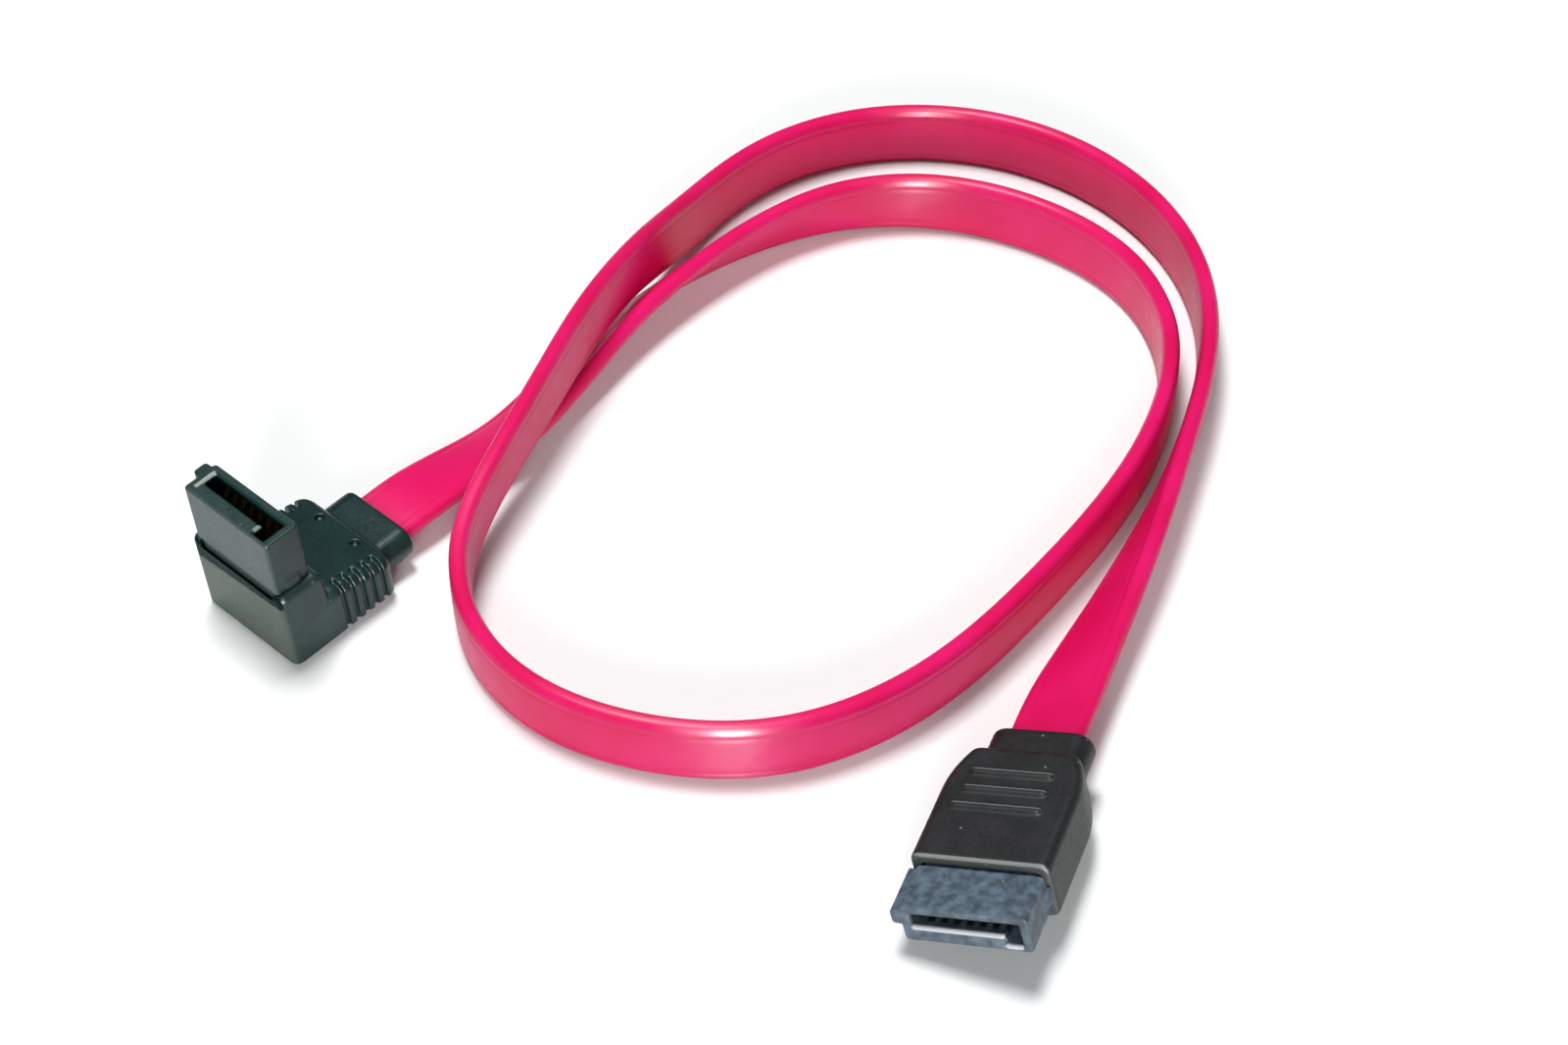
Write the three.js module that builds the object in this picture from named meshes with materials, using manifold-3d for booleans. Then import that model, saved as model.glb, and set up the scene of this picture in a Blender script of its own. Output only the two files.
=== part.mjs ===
// Serial data cable: a flat ribbon standing on its edge in a double loop, an angled connector
// at one end and a straight connector at the other. Millimetres, +Z up, origin on the floor
// under the middle of the two connectors, +X along the longer side of their common box.

import * as THREE from 'three';
import { mergeVertices } from 'three/addons/utils/BufferGeometryUtils.js';
import Module from 'manifold-3d';

const wasm = await Module();
wasm.setup();

// Ribbon cable
const ribbonWidth = 7.6;
const ribbonThickness = 2.1;
const ribbonSteps = 80;
const coreWidth = 2.9; // one shielded pair inside the ribbon
const coreThickness = 1.4;
const coreSpacing = 3.9; // between the middles of the two pairs
const coreStub = 4.2; // bare pair between the jacket's end and its wires
const coreInPocket = 1.8; // part of that stub that still lies in the ribbon's pocket

// Housing, the hard insert whose nose goes over the drive's tongue. Its own frame has the mouth
// at y = 0, looking along -y, and the side with the contacts up. Its seat is in the moulding.
const noseWidth = 12.6;
const noseThickness = 4.2;
const noseCorner = 0.35;
const seatWidth = 11.4;
const seatThickness = 4.0;
const slotWidth = 10.6;
const slotHeight = 1.55;
const slotRoof = 0.9; // wall between the slot and the nose's contact side
const slotDepth = 5.2;
const legWidth = 1.6; // the short arm of the L-shaped slot
const legDrop = 1.2;
const leadIn = 0.22; // chamfer round the slot's mouth
const ribWidth = 1.7; // key rib down one end of the nose
const ribHeight = 0.95;
const ribCentre = 0.75;
const latchHeight = 0.45; // bump on the other end of the nose
const latchLength = 1.6;

// Contacts, seven stamped strips at the standard pitch
const contactCount = 7;
const contactPitch = 1.27;
const contactWidth = 0.5;
const contactThickness = 0.2;
const contactSetback = 0.8; // from the mouth to a contact's tip
const contactTip = 0.4; // flat tip before the spring's bow
const contactBow = 0.5; // how far the spring stands into the slot
const bowMiddle = 2.4; // from the mouth to the top of the bow
const bowEnd = 4.2; // from the mouth to the bow's root
const bowFlat = 0.4; // half the length of the bow's flat top
const bowInnerFlat = 0.3; // the same on the strip's hollow side
const contactTail = 1.5; // behind the housing
const channelHeight = 0.4;
const channelSide = 0.15; // free space beside a contact in its channel
const springRoom = 0.1; // channel open to the slot, so that the spring can move

// Wires inside the mouldings
const signalWireDiameter = 0.8;
const drainWireDiameter = 0.4;
const wireSides = 8;
const wireSteps = 10;
const wireRunOut = 0.6; // straight wire at a shielded pair's end
const wireRunIn = 1.2; // straight wire before a contact's tail
const wireBendRun = 0.9; // from the contacts to the wires' bend in the angled connector

// Fits
const fitGap = 0.3; // between pieces that sit in or against each other
const pocketGap = 0.2; // between the ribbon and the collar that grips it
const join = 0.4; // how far solids that become one reach into each other
const overcut = 1; // how far a cut runs on past the solid it opens

// Collars round the ribbon
const collarWidth = 10.5;
const collarThickness = 3.8;
const collarCorner = 1.8;
const collarEdge = 0.4;

// Straight connector
const edgeRound = 0.8;
const straightNose = 5.7; // nose in front of the moulding
const straightSeat = 5.2; // housing inside the moulding
const straightWidth = 13.8;
const straightThickness = 6.6;
const straightLength = 15.4;
const straightShoulder = 6.0; // length over which the sides draw in to the rear
const straightRearWidth = 10.6;
const shoulderPull = 2.6; // how long the side's line leads the shoulder's curve
const rearPull = 1.4; // the same at the rear
const shoulderSteps = 6; // straight pieces in a shoulder's curve
const straightCollar = 4.2;
const gripBarCount = 3;
const gripBarLength = 8.4;
const gripBarWidth = 0.75;
const gripBarHeight = 0.3;
const gripBarPitch = 2.35;
const gripBarFirst = 6.9; // from the moulding's front face to the first bar

// Angled connector
const angledNose = 7.3;
const angledSeat = 4.7;
const angledWidth = 14.2;
const angledDepth = 14.2;
const angledFrontHeight = 10.2;
const angledStepHeight = 6.3; // top at the foot of the step behind the nose
const angledRearHeight = 5.2;
const angledRearRound = 1.2;
const angledShelf = 0.5; // top between the nose's seat and the step
const stepRun = 1.0; // how far the step leans back
const noseSetback = 0.3; // ledge in front of the nose
const angledCollar = 4.0;
const cableHeight = 2.0; // ribbon's middle above the connector's base
const wireRise = 0.35; // of a wire on its way to the contacts
const tunnelRoof = 3.3; // above the base, over the wires
const grooveCount = 5;
const groovePitch = 1.27;
const grooveWidth = 0.55;
const grooveDepth = 0.5;
const grooveReach = 1.2; // how far a groove runs in over the top
const grooveRear = 1.9; // from the moulding's rear face to the last groove
const dimpleDiameter = 1.0;
const dimpleDepth = 0.5;
const dimpleSpacing = 5.5;
const dimpleInset = 1.6;
const dimpleSides = 12;

// Where the connectors lie: place on the floor, turn about Z, then tip and roll, in degrees
const angledPlace = { x: -39.7, y: 13.9, z: 0.01, turn: -42.9, tip: 3.6, roll: 0 };
const straightPlace = { x: 31.4, y: -28.2, z: 5.76, turn: -20.5, tip: -3.2, roll: -15.5 };

// The ribbon's way between the connectors: x, y and height of its middle, and its roll in
// degrees, 0 flat with its first face up, 90 standing on edge, 180 flat with that face down
const ribbonRoute = [
  [-15.0, 41.5, 2.16, 19], [-9.1, 50.5, 2.43, 27], [-3.6, 58.8, 2.85, 40], [3.0, 66.5, 3.24, 51],
  [11.4, 73.6, 3.59, 66], [21.4, 78.4, 3.95, 81], [33.3, 79.1, 3.95, 89], [45.3, 74.4, 3.85, 90],
  [53.9, 65.8, 3.85, 90], [57.4, 54.4, 3.85, 90], [55.9, 42.8, 3.85, 90], [49.8, 29.1, 3.85, 90],
  [41.0, 16.3, 3.85, 90], [27.2, 1.6, 3.85, 90], [14.7, -4.4, 3.85, 90], [-0.7, -3.5, 3.85, 90],
  [-10.1, 1.4, 3.87, 90], [-16.8, 10.7, 4.08, 91], [-18.2, 20.4, 5.16, 90], [-15.5, 30.0, 6.87, 87],
  [-11.2, 40.8, 8.16, 89], [-6.9, 51.8, 8.87, 90], [-2.2, 62.7, 7.85, 88], [3.1, 74.1, 4.65, 92],
  [11.7, 85.4, 3.92, 90], [23.7, 91.8, 3.87, 90], [36.5, 92.1, 3.85, 90], [48.3, 87.0, 3.85, 90],
  [57.3, 77.2, 3.85, 90], [61.8, 64.8, 3.85, 90], [61.5, 50.4, 3.85, 91], [57.3, 36.2, 3.85, 101],
  [51.1, 20.8, 3.55, 124], [45.2, 7.8, 3.5, 149],
];
const ribbonGrip = 3.4; // length of ribbon inside a collar
const ribbonRunOut = 3.6; // straight ribbon behind a collar
const halfTurn = 180; // the ribbon turns over once on its way, degrees

const materials = {
  ribbon: { color: 0xdf1a5a, roughness: 0.42, metalness: 0 },
  angledMoulding: { color: 0x27403f, roughness: 0.5, metalness: 0 },
  straightMoulding: { color: 0x2f3335, roughness: 0.55, metalness: 0 },
  angledHousing: { color: 0x2d4645, roughness: 0.45, metalness: 0 },
  straightHousing: { color: 0x4d6075, roughness: 0.6, metalness: 0 },
  contact: { color: 0xc9a64e, roughness: 0.3, metalness: 1 },
  foil: { color: 0xc6c9cc, roughness: 0.35, metalness: 1 },
  signalWire: { color: 0xe9e6dc, roughness: 0.5, metalness: 0 },
  drainWire: { color: 0xb9bbbd, roughness: 0.35, metalness: 1 },
};

const radians = THREE.MathUtils.degToRad;

// A closed geometry as a solid for cutting and joining
function solidOf(geometry) {
  const bare = geometry.clone();
  bare.deleteAttribute('normal');
  bare.deleteAttribute('uv');
  const merged = mergeVertices(bare, 1e-4);
  return new wasm.Manifold(new wasm.Mesh({
    numProp: 3,
    vertProperties: new Float32Array(merged.attributes.position.array),
    triVerts: new Uint32Array(merged.index.array),
  }));
}

function geometryOf(solid) {
  const { vertProperties, triVerts } = solid.getMesh();
  const geometry = new THREE.BufferGeometry();
  geometry.setAttribute('position', new THREE.BufferAttribute(vertProperties, 3));
  geometry.setIndex(new THREE.BufferAttribute(triVerts, 1));
  const faceted = geometry.toNonIndexed();
  faceted.computeVertexNormals();
  return faceted;
}

function meshOf(name, geometry, material) {
  const mesh = new THREE.Mesh(geometry, new THREE.MeshStandardMaterial(materials[material]));
  mesh.name = name;
  return mesh;
}

// Rectangle with round corners about (cx, cy), arcs of a quarter turn at its corners
function roundedRectangle(width, height, radius, cx = 0, cy = 0) {
  const leastEdge = 0.02;
  const r = Math.min(radius, width / 2 - leastEdge, height / 2 - leastEdge);
  const [left, right] = [cx - width / 2, cx + width / 2];
  const [low, high] = [cy - height / 2, cy + height / 2];
  const shape = new THREE.Shape();
  shape.moveTo(left + r, low);
  shape.lineTo(right - r, low);
  shape.absarc(right - r, low + r, r, -Math.PI / 2, 0);
  shape.lineTo(right, high - r);
  shape.absarc(right - r, high - r, r, 0, Math.PI / 2);
  shape.lineTo(left + r, high);
  shape.absarc(left + r, high - r, r, Math.PI / 2, Math.PI);
  shape.lineTo(left, low + r);
  shape.absarc(left + r, low + r, r, Math.PI, Math.PI * 1.5);
  return shape;
}

function polygon(points) {
  return new THREE.Shape(points.map(([a, b]) => new THREE.Vector2(a, b)));
}

// Extrusions of an outline between two planes; a round takes the sharp end edges off
function extrude(shape, from, to, round = 0, arcSteps = 3) {
  const geometry = new THREE.ExtrudeGeometry(shape, {
    depth: to - from - 2 * round,
    curveSegments: arcSteps,
    bevelEnabled: round > 0,
    bevelThickness: round,
    bevelSize: round,
    bevelOffset: -round,
    bevelSegments: 3,
  });
  return geometry.translate(0, 0, from + round);
}

// The outline's axes become x and z, and it runs along y
function extrudeAlongY(shape, from, to, round = 0, arcSteps = 3) {
  return extrude(shape, -to, -from, round, arcSteps).rotateX(Math.PI / 2);
}

// The outline's axes become y and z, and it runs along x
function extrudeAlongX(shape, from, to, round = 0, arcSteps = 3) {
  const turn = new THREE.Matrix4().makeBasis(
    new THREE.Vector3(0, 1, 0), new THREE.Vector3(0, 0, 1), new THREE.Vector3(1, 0, 0));
  return extrude(shape, from, to, round, arcSteps).applyMatrix4(turn);
}

function box(x0, x1, y0, y1, z0, z1) {
  const geometry = new THREE.BoxGeometry(x1 - x0, y1 - y0, z1 - z0);
  return geometry.translate((x0 + x1) / 2, (y0 + y1) / 2, (z0 + z1) / 2);
}

const slotTop = noseThickness / 2 - slotRoof;
const channelTop = slotTop + channelHeight;
const contactPlane = slotTop + channelHeight / 2;
const contactPlaces = Array.from({ length: contactCount },
  (_, i) => (i - (contactCount - 1) / 2) * contactPitch);

// L-shaped slot: a long arm for the tongue and a short leg at its right end
function slotOutline() {
  const half = slotWidth / 2;
  const floor = slotTop - slotHeight;
  return polygon([[-half, slotTop], [-half, floor], [half - legWidth, floor],
    [half - legWidth, floor - legDrop], [half, floor - legDrop], [half, slotTop]]);
}

// Wedge on the nose's right end, steep towards the moulding
function latchGeometry(noseEnd) {
  const profile = polygon([[noseEnd - latchLength, -join], [noseEnd, -join],
    [noseEnd, latchHeight], [noseEnd - latchLength / 2, latchHeight],
    [noseEnd - latchLength, 0]]);
  const turn = new THREE.Matrix4().makeBasis(
    new THREE.Vector3(0, 1, 0), new THREE.Vector3(1, 0, 0), new THREE.Vector3(0, 0, -1));
  const wedge = extrude(profile, -ribWidth / 2, ribWidth / 2).applyMatrix4(turn);
  return wedge.translate(noseWidth / 2, 0, 0);
}

// Nose and seat in one moulding, with the slot, its chamfer, the contact channels, the key rib
// and the latch bump
function housingGeometry(nose, seat) {
  const noseEnd = nose - fitGap;
  const length = nose + seat;
  const noseOutline = roundedRectangle(noseWidth, noseThickness, noseCorner);
  const seatOutline = roundedRectangle(seatWidth, seatThickness, noseCorner);
  const rib = roundedRectangle(2 * ribHeight, ribWidth, noseCorner, -noseWidth / 2, ribCentre);
  let solid = solidOf(extrudeAlongY(noseOutline, 0, noseEnd));
  solid = solid.add(solidOf(extrudeAlongY(seatOutline, noseEnd - join, length)));
  solid = solid.add(solidOf(extrudeAlongY(rib, 0, noseEnd)));
  solid = solid.add(solidOf(latchGeometry(noseEnd)));

  solid = solid.subtract(solidOf(extrudeAlongY(slotOutline(), -overcut, slotDepth)));
  const mouth = new THREE.ExtrudeGeometry(slotOutline(), {
    depth: overcut, bevelEnabled: true,
    bevelThickness: leadIn, bevelSize: leadIn, bevelSegments: 1,
  });
  solid = solid.subtract(solidOf(mouth.rotateX(Math.PI / 2)));
  const half = contactWidth / 2 + channelSide;
  const channelFront = contactSetback - channelSide;
  for (const x of contactPlaces) {
    const open = box(x - half, x + half, channelFront, slotDepth, slotTop - springRoom, channelTop);
    solid = solid.subtract(solidOf(open));
    const closed = box(
      x - half, x + half, slotDepth - join, length + overcut, slotTop, channelTop);
    solid = solid.subtract(solidOf(closed));
  }
  return geometryOf(solid);
}

// Stamped strip: straight in its channel, with a bow that stands into the slot
function contactGeometry(x, length) {
  const low = contactPlane - contactThickness / 2;
  const high = contactPlane + contactThickness / 2;
  const bowStart = contactSetback + contactTip;
  const end = length + contactTail;
  const profile = polygon([
    [contactSetback, low], [bowStart, low], [bowMiddle - bowFlat, low - contactBow],
    [bowMiddle + bowFlat, low - contactBow], [bowEnd, low], [end, low], [end, high],
    [bowEnd, high], [bowMiddle + bowInnerFlat, high - contactBow],
    [bowMiddle - bowInnerFlat, high - contactBow], [bowStart, high], [contactSetback, high]]);
  return extrudeAlongX(profile, x - contactWidth / 2, x + contactWidth / 2);
}

// Flat bar with round edges, the section of the ribbon and of a shielded pair
function barOutline(width, thickness, arcSteps = 2, cx = 0, cy = 0) {
  const r = thickness / 2;
  const reach = width / 2 - r;
  const points = [];
  for (const side of [1, -1]) {
    for (let i = 0; i <= 2 * arcSteps; i += 1) {
      const a = (i / arcSteps - 1) * Math.PI / 2;
      points.push([cx + side * (reach + r * Math.cos(a)), cy + side * r * Math.sin(a)]);
    }
  }
  return polygon(points);
}

// Round wire along a smooth path through hand-set points
function wireGeometry(points, diameter) {
  const path = new THREE.CatmullRomCurve3(points.map((p) => new THREE.Vector3(...p)));
  const section = new THREE.Shape();
  for (let i = 0; i < wireSides; i += 1) {
    const a = (i * 2 * Math.PI) / wireSides;
    const [u, v] = [Math.cos(a) * diameter / 2, Math.sin(a) * diameter / 2];
    if (i === 0) section.moveTo(u, v);
    else section.lineTo(u, v);
  }
  return new THREE.ExtrudeGeometry(section, {
    steps: wireSteps, bevelEnabled: false, extrudePath: path,
  });
}

const middleContact = (contactCount - 1) / 2;

// The outside two and the middle contact take bare drain wires, the others the signal wires
function isDrain(i) {
  return i === 0 || i === contactCount - 1 || i === middleContact;
}

// Where wire i leaves the shielded pairs: signal wires out of their pair's end, drains beside it
function wireStartX(i) {
  if (i === middleContact) return 0;
  const side = Math.sign(i - middleContact);
  const beside = (coreSpacing + coreWidth + drainWireDiameter) / 2 + fitGap;
  if (isDrain(i)) return side * beside;
  const inner = Math.abs(i - middleContact) === 1;
  return side * (coreSpacing / 2 + (inner ? -1 : 1) * coreWidth / 4);
}

// Width of the space for the wires in a moulding
const contactSpan = (contactCount - 1) * contactPitch;
const pairSpan = coreSpacing + coreWidth + 2 * (fitGap + drainWireDiameter);
const wireSpace = Math.max(contactSpan + signalWireDiameter, pairSpan) + 2 * fitGap;

// Housing and contacts in the housing's own frame
function nosePieces(prefix, nose, seat, housingMaterial) {
  const group = new THREE.Group();
  group.add(meshOf(`${prefix}_housing`, housingGeometry(nose, seat), housingMaterial));
  contactPlaces.forEach((x, i) => {
    const geometry = contactGeometry(x, nose + seat);
    group.add(meshOf(`${prefix}_contact_${i + 1}`, geometry, 'contact'));
  });
  return group;
}

// Shielded pairs with their wires. ends(i) gives the wire's last points, at contact i
function cableEndPieces(prefix, jacketEnd, height, ends) {
  const group = new THREE.Group();
  const stubTo = jacketEnd - fitGap;
  const stubFrom = stubTo - coreStub;
  [-1, 1].forEach((side, i) => {
    const section = barOutline(coreWidth, coreThickness, 2, side * coreSpacing / 2, height);
    const geometry = extrudeAlongY(section, stubFrom, stubTo);
    group.add(meshOf(`${prefix}_shielded_pair_${i + 1}`, geometry, 'foil'));
  });
  for (let i = 0; i < contactCount; i += 1) {
    const x = wireStartX(i);
    const drain = isDrain(i);
    const from = drain ? stubTo - coreInPocket - fitGap : stubFrom - fitGap;
    const points = [[x, from, height], [x, stubFrom - wireRunOut - fitGap, height], ...ends(i)];
    const name = drain ? `${prefix}_drain_wire_${i + 1}` : `${prefix}_signal_wire_${i + 1}`;
    const geometry = wireGeometry(points, drain ? drainWireDiameter : signalWireDiameter);
    group.add(meshOf(name, geometry, drain ? 'drainWire' : 'signalWire'));
  }
  return group;
}

// Space left in a moulding for the ribbon's end
function ribbonPocket(from, to, height) {
  const width = ribbonWidth + 2 * pocketGap;
  const thickness = ribbonThickness + 2 * pocketGap;
  return solidOf(extrudeAlongY(barOutline(width, thickness, 3, 0, height), from, to));
}

function collarSolid(from, to, height) {
  const outline = roundedRectangle(collarWidth, collarThickness, collarCorner, 0, height);
  return solidOf(extrudeAlongY(outline, from, to, collarEdge));
}

// Straight moulding, in the housing's frame: it grips the housing's seat, draws in at the rear
// and ends in the collar round the ribbon
const straightFront = straightNose;
const straightRear = straightFront + straightLength;
const straightCollarEnd = straightRear + straightCollar;
const straightJacketEnd = straightCollarEnd - ribbonGrip;

function straightPlan() {
  const half = straightWidth / 2;
  const rearHalf = straightRearWidth / 2;
  const shoulder = straightRear - straightShoulder;
  const plan = new THREE.Shape();
  plan.moveTo(-half, straightFront);
  plan.lineTo(half, straightFront);
  plan.lineTo(half, shoulder);
  plan.bezierCurveTo(half, shoulder + shoulderPull,
    rearHalf + rearPull / 2, straightRear - rearPull, rearHalf, straightRear);
  plan.lineTo(-rearHalf, straightRear);
  plan.bezierCurveTo(-rearHalf - rearPull / 2, straightRear - rearPull,
    -half, shoulder + shoulderPull, -half, shoulder);
  plan.lineTo(-half, straightFront);
  return plan;
}

function straightMouldingGeometry() {
  const thick = straightThickness / 2;
  let solid = solidOf(extrude(straightPlan(), -thick, thick, edgeRound, shoulderSteps));
  solid = solid.add(collarSolid(straightRear - 2 * join, straightCollarEnd, 0));
  for (let i = 0; i < gripBarCount; i += 1) {
    const y = straightFront + gripBarFirst + i * gripBarPitch;
    const bar = roundedRectangle(gripBarLength, gripBarWidth, gripBarWidth / 2, 0, y);
    solid = solid.add(solidOf(extrude(bar, thick - join, thick + gripBarHeight)));
    solid = solid.add(solidOf(extrude(bar, -thick - gripBarHeight, -thick + join)));
  }
  const seatEnd = straightFront + straightSeat + fitGap;
  const seat = roundedRectangle(
    seatWidth + 2 * fitGap, seatThickness + 2 * fitGap, noseCorner + fitGap);
  solid = solid.subtract(solidOf(extrudeAlongY(seat, straightFront - overcut, seatEnd)));
  const chamberEnd = straightJacketEnd - fitGap - coreInPocket;
  const roof = contactPlane + signalWireDiameter / 2 + fitGap;
  solid = solid.subtract(solidOf(
    box(-wireSpace / 2, wireSpace / 2, seatEnd - join, chamberEnd, -roof, roof)));
  solid = solid.subtract(ribbonPocket(chamberEnd - join, straightCollarEnd + overcut, 0));
  return geometryOf(solid);
}

function straightConnector() {
  const group = new THREE.Group();
  group.add(meshOf('straight_moulding', straightMouldingGeometry(), 'straightMoulding'));
  group.add(nosePieces('straight', straightNose, straightSeat, 'straightHousing'));
  const tailEnd = straightNose + straightSeat + contactTail + fitGap;
  group.add(cableEndPieces('straight', straightJacketEnd, 0, (i) => [
    [contactPlaces[i], tailEnd + wireRunIn, contactPlane],
    [contactPlaces[i], tailEnd, contactPlane],
  ]));
  return group;
}

// Angled moulding: its base is on z = 0 and its front face on y = 0. The nose stands up out of
// its front part and the ribbon leaves low at the rear
const angledTop = angledFrontHeight + angledNose;
const angledSeatBottom = angledFrontHeight - angledSeat;
const noseMiddle = noseSetback + noseThickness / 2;
const angledCollarEnd = angledDepth + angledCollar;
const angledJacketEnd = angledCollarEnd - ribbonGrip;
const wellRear = noseMiddle + seatThickness / 2 + fitGap;
const slopeStart = wellRear + angledShelf + stepRun;
const slopeEnd = angledDepth - angledRearRound;

// Height of the moulding's top at a distance y from its front face, behind the step
function slopeHeight(y) {
  const share = (slopeEnd - y) / (slopeEnd - slopeStart);
  return angledRearHeight + share * (angledStepHeight - angledRearHeight);
}

function angledSide() {
  const side = new THREE.Shape();
  side.moveTo(0, 0);
  side.lineTo(angledDepth, 0);
  side.lineTo(angledDepth, angledRearHeight - angledRearRound);
  side.absarc(slopeEnd, angledRearHeight - angledRearRound, angledRearRound, 0, Math.PI / 2);
  side.lineTo(slopeStart, angledStepHeight);
  side.lineTo(slopeStart - stepRun, angledFrontHeight);
  side.lineTo(0, angledFrontHeight);
  return side;
}

// One pair of grooves, up the left and right sides and a little way in over the top
function grooveSolids(y) {
  const half = angledWidth / 2;
  const top = slopeHeight(y);
  const [front, rear] = [y - grooveWidth / 2, y + grooveWidth / 2];
  const cuts = [];
  for (const side of [-1, 1]) {
    const outside = side * (half + overcut);
    const upright = [side * (half - grooveDepth), outside].sort((a, b) => a - b);
    const over = [side * (half - grooveReach), outside].sort((a, b) => a - b);
    cuts.push(solidOf(box(...upright, front, rear, -overcut, top + overcut)));
    cuts.push(solidOf(box(...over, front, rear, top - grooveDepth, top + overcut)));
  }
  return cuts;
}

// Mark of an ejector pin in the top
function dimpleSolid(x, y) {
  const radius = dimpleDiameter / 2;
  const height = dimpleDepth + overcut;
  const pit = new THREE.CylinderGeometry(radius, radius, height, dimpleSides);
  const middle = slopeHeight(y) - dimpleDepth + height / 2;
  return solidOf(pit.rotateX(Math.PI / 2).translate(x, y, middle));
}

function angledMouldingGeometry() {
  const half = angledWidth / 2;
  let solid = solidOf(extrudeAlongX(angledSide(), -half, half, edgeRound));
  solid = solid.add(collarSolid(angledDepth - 2 * join, angledCollarEnd, cableHeight));
  for (let i = 0; i < grooveCount; i += 1) {
    for (const cut of grooveSolids(angledDepth - grooveRear - i * groovePitch)) {
      solid = solid.subtract(cut);
    }
  }
  for (const side of [-1, 1]) {
    solid = solid.subtract(dimpleSolid(side * dimpleSpacing / 2, angledDepth - dimpleInset));
  }
  const seat = roundedRectangle(seatWidth + 2 * fitGap, seatThickness + 2 * fitGap,
    noseCorner + fitGap, 0, noseMiddle);
  const wellBottom = angledSeatBottom - fitGap;
  solid = solid.subtract(solidOf(extrude(seat, wellBottom, angledFrontHeight + overcut)));
  const tunnelEnd = angledJacketEnd - fitGap - coreInPocket;
  const wellFront = noseMiddle + contactPlane - signalWireDiameter / 2 - fitGap;
  const floor = cableHeight - signalWireDiameter;
  solid = solid.subtract(solidOf(
    box(-wireSpace / 2, wireSpace / 2, wellFront, wellRear, floor, wellBottom + join)));
  solid = solid.subtract(solidOf(
    box(-wireSpace / 2, wireSpace / 2, wellFront, tunnelEnd, floor, tunnelRoof)));
  solid = solid.subtract(ribbonPocket(tunnelEnd - join, angledCollarEnd + overcut, cableHeight));
  return geometryOf(solid);
}

function angledConnector() {
  const group = new THREE.Group();
  group.add(meshOf('angled_moulding', angledMouldingGeometry(), 'angledMoulding'));
  const nose = nosePieces('angled', angledNose, angledSeat, 'angledHousing');
  nose.rotation.x = -Math.PI / 2;
  nose.position.set(0, noseMiddle, angledTop);
  group.add(nose);
  const tailEnd = angledSeatBottom - contactTail - fitGap;
  const tailY = noseMiddle + contactPlane;
  group.add(cableEndPieces('angled', angledJacketEnd, cableHeight, (i) => [
    [contactPlaces[i], tailY + wireBendRun, cableHeight + wireRise],
    [contactPlaces[i], tailY, tailEnd],
  ]));
  return group;
}

function placed(group, place) {
  group.rotation.set(radians(place.tip), radians(place.roll), radians(place.turn), 'ZXY');
  group.position.set(place.x, place.y, place.z);
  group.updateMatrixWorld(true);
  return group;
}

const angled = placed(angledConnector(), angledPlace);
const straight = placed(straightConnector(), straightPlace);

// Points on a connector's cable axis, from inside its collar to a little way out of it
function collarPoints(group, collarEnd, height, roll) {
  return [collarEnd - ribbonGrip, collarEnd, collarEnd + ribbonRunOut].map((y) => {
    const p = new THREE.Vector3(0, y, height).applyMatrix4(group.matrixWorld);
    return [p.x, p.y, p.z, roll];
  });
}

// The ribbon is a straight bar with round edges, bent point by point onto its route: a point's
// distance along the bar picks the place, and the roll turns its width up from the side
function ribbonGeometry() {
  const knots = [
    ...collarPoints(angled, angledCollarEnd, cableHeight, -angledPlace.roll),
    ...ribbonRoute,
    ...collarPoints(straight, straightCollarEnd, 0, halfTurn + straightPlace.roll).reverse(),
  ];
  const way = new THREE.CatmullRomCurve3(
    knots.map(([x, y, z]) => new THREE.Vector3(x, y, z)), false, 'catmullrom', 0.5);
  const turn = new THREE.CatmullRomCurve3(
    knots.map((knot) => new THREE.Vector3(knot[3], 0, 0)), false, 'catmullrom', 0.5);
  way.arcLengthDivisions = 2000;
  const length = way.getLength();
  const bar = new THREE.ExtrudeGeometry(barOutline(ribbonWidth, ribbonThickness), {
    depth: length, steps: ribbonSteps, bevelEnabled: false,
  });
  const position = bar.attributes.position;
  const up = new THREE.Vector3(0, 0, 1);
  for (let i = 0; i < position.count; i += 1) {
    const share = THREE.MathUtils.clamp(position.getZ(i) / length, 0, 1);
    const t = way.getUtoTmapping(share);
    const point = way.getPoint(t);
    const along = way.getTangent(t);
    const aside = along.clone().cross(up).normalize();
    const over = aside.clone().cross(along);
    const roll = radians(turn.getPoint(t).x);
    const [cos, sin] = [Math.cos(roll), Math.sin(roll)];
    const wide = aside.clone().multiplyScalar(cos).addScaledVector(over, sin);
    const thick = aside.clone().multiplyScalar(sin).addScaledVector(over, -cos);
    point.addScaledVector(wide, position.getX(i)).addScaledVector(thick, position.getY(i));
    position.setXYZ(i, point.x, point.y, point.z);
  }
  return bar;
}

const cable = new THREE.Group();
cable.add(meshOf('ribbon', ribbonGeometry(), 'ribbon'), angled, straight);

export default cable;
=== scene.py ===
import math

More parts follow.
